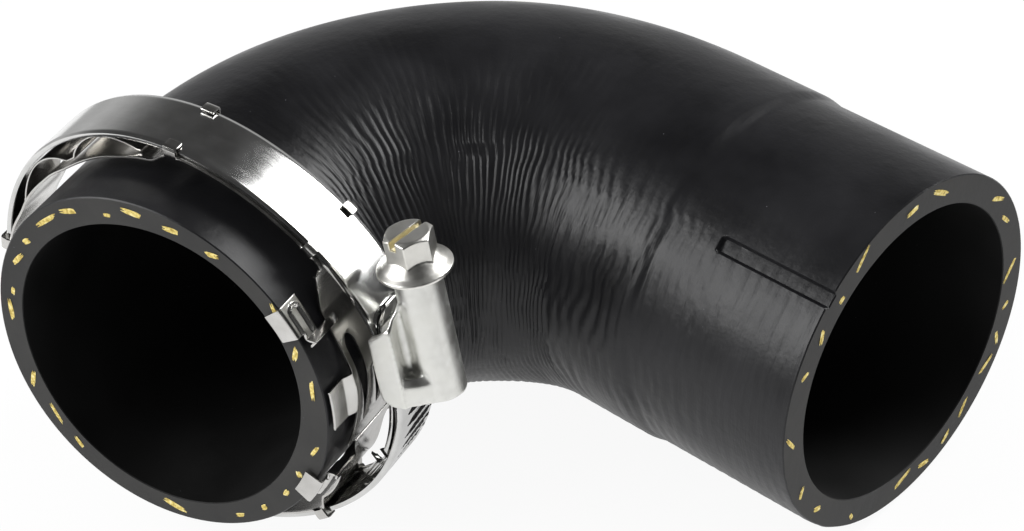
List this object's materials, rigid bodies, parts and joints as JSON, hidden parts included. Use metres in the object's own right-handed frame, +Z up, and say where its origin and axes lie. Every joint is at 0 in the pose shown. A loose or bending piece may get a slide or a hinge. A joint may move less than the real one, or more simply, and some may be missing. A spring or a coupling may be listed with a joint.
{
  "type": "turbo hose",
  "caption": "Moulded rubber elbow hose with a worm-drive band clamp and sprung liner hooked over one mouth; the other mouth is a plain cuff.",
  "frame": {"origin": "middle of the part's footprint, on the surface it lies on", "axes": "+X out of the plain mouth, level with the surface to within two degrees; +Z up; the clamped mouth faces roughly -Y"},
  "size_m": [0.1246, 0.1156, 0.0743],
  "materials": {
    "black_rubber": "matt black with a soft sheen",
    "band_steel": "polished stainless",
    "housing_steel": "satin stainless",
    "screw_steel": "bright plated",
    "spring_steel": "bright rolled strip"
  },
  "bodies": {
    "hose_and_clamp": {"rubber_elbow": "black_rubber", "clamp_band": "band_steel", "screw_housing": "housing_steel", "spring_liner": "spring_steel", "wave_spring_top": "spring_steel", "wave_spring_bottom": "spring_steel"},
    "screw": {"worm_screw": "screw_steel"}
  },
  "joints": [
    {"name": "screw_turn", "type": "hinge", "parent": "hose_and_clamp", "child": "screw", "pos_m": [0.0137, -0.026, 0.04221], "axis": [-0.1344, 0.0197, 0.9907], "continuous": true}
  ]
}
